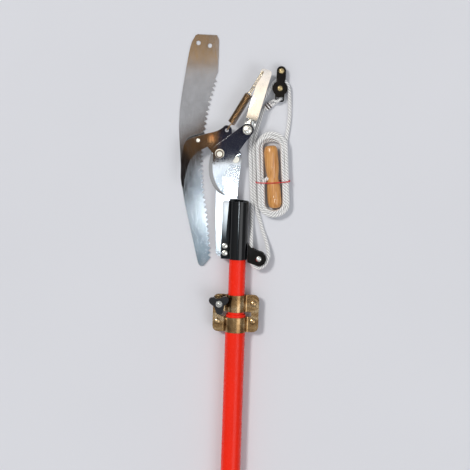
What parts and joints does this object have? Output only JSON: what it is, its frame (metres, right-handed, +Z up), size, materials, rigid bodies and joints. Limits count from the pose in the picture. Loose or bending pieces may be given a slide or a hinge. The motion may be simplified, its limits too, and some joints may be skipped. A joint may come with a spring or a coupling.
{
  "type": "telescoping pole pruner and saw",
  "caption": "Telescoping tube pole with a rope-worked hook and blade pruner head, return spring, rope block, hanked rope with a wooden toggle, and a loose curved saw blade.",
  "frame": {"origin": "on the floor under the middle of the tool without its rope, its block and its toggle; the pole axis is 25.7 mm to the +X side of it", "axes": "+Y up the pole towards the pruner head, +X to the rope side of the head, +Z up from the floor the tool lies on"},
  "size_m": [0.1686, 1.6209, 0.0366],
  "materials": {
    "chromed_steel": "polished",
    "bare_steel": "satin",
    "zinc_plated": "satin",
    "brass_rivet": "satin",
    "black_paint": "gloss",
    "red_paint": "gloss",
    "yellow_zinc": "satin",
    "ferrule_metal": "satin",
    "black_plastic": "gloss",
    "nylon": "matte",
    "black_rubber": "matte",
    "white_rope": "woven",
    "red_tie": "woven",
    "varnished_wood": "gloss"
  },
  "bodies": {
    "head": {"hook_jaw": "chromed_steel", "body_plate": "bare_steel", "pivot_bolt": "zinc_plated", "pivot_washer": "zinc_plated", "pivot_nut": "zinc_plated", "jaw_rivet": "zinc_plated", "socket": "black_paint", "socket_bolt_1": "zinc_plated", "socket_bolt_2": "zinc_plated", "socket_nut_1": "zinc_plated", "socket_nut_2": "zinc_plated", "rope_bracket": "black_paint", "guide_axle": "zinc_plated", "inner_tube": "red_paint", "guide_bush": "nylon", "pull_rope": "white_rope", "rope_hank": "white_rope", "block_front_cheek": "black_paint", "block_back_cheek": "black_paint", "block_axle": "brass_rivet", "block_rivet": "brass_rivet", "block_spacer": "black_paint", "becket_staple": "black_paint", "rope_ferrule": "ferrule_metal", "becket_eye": "white_rope", "toggle_handle": "varnished_wood", "toggle_tie": "red_tie"},
    "blade": {"cutting_blade": "chromed_steel", "lever": "bare_steel", "lever_bolt": "zinc_plated", "lever_washer": "zinc_plated", "lever_nut": "zinc_plated"},
    "spring": {"spring_coil": "bare_steel"},
    "spring_rod": {"spring_rod": "bare_steel"},
    "guide_wheel": {"guide_wheel": "nylon"},
    "block_wheel": {"block_wheel": "nylon"},
    "outer_pole": {"outer_tube": "red_paint", "clamp_front": "yellow_zinc", "clamp_back": "yellow_zinc", "clamp_rivet_1": "yellow_zinc", "clamp_rivet_2": "yellow_zinc", "clamp_rivet_3": "yellow_zinc", "clamp_stud": "zinc_plated", "butt_cap": "black_rubber"},
    "knob": {"clamp_knob": "black_plastic", "knob_insert": "zinc_plated"},
    "saw_blade": {"saw_blade": "bare_steel"}
  },
  "joints": [
    {"name": "blade_pivot", "type": "hinge", "parent": "head", "child": "blade", "pos_m": [-0.0061, 0.6366, 0.0251], "axis": [0, 0, -1], "range_deg": [0, 60], "stiffness_Nm_per_rad": 1.5, "springref_deg": -17.19, "deforming": ["spring_coil", "spring_rod"]},
    {"name": "spring_swing", "type": "hinge", "parent": "head", "child": "spring", "pos_m": [0.0035, 0.6712, 0.0245], "axis": [0, 0, -1], "range_deg": [-1, 73]},
    {"name": "spring_stretch", "type": "slide", "parent": "spring", "child": "spring_rod", "axis": [0.494, 0.8695, 0], "range_m": [-0.001, 0.029]},
    {"name": "guide_wheel_spin", "type": "hinge", "parent": "head", "child": "guide_wheel", "pos_m": [0.0572, 0.4801, 0.0175], "axis": [0, 0, 1], "continuous": true},
    {"name": "block_wheel_spin", "type": "hinge", "parent": "head", "child": "block_wheel", "pos_m": [0.0802, 0.7352, 0.0064], "axis": [0, 0, 1], "continuous": true},
    {"name": "pole_extension", "type": "slide", "parent": "head", "child": "outer_pole", "axis": [0, -1, 0], "range_m": [0, 1]},
    {"name": "knob_turn", "type": "hinge", "parent": "outer_pole", "child": "knob", "pos_m": [0.0002, 0.4114, 0.028], "axis": [0, 0, 1], "continuous": true},
    {"name": "saw_blade_aside", "type": "slide", "parent": "head", "child": "saw_blade", "axis": [-1, 0, 0], "range_m": [0, 0.12]}
  ],
  "couplings": [
    {"joint": "spring_swing", "follows": "blade_pivot", "ratio": 1.1949},
    {"joint": "spring_stretch", "follows": "blade_pivot", "m_per_rad": 0.026382}
  ]
}
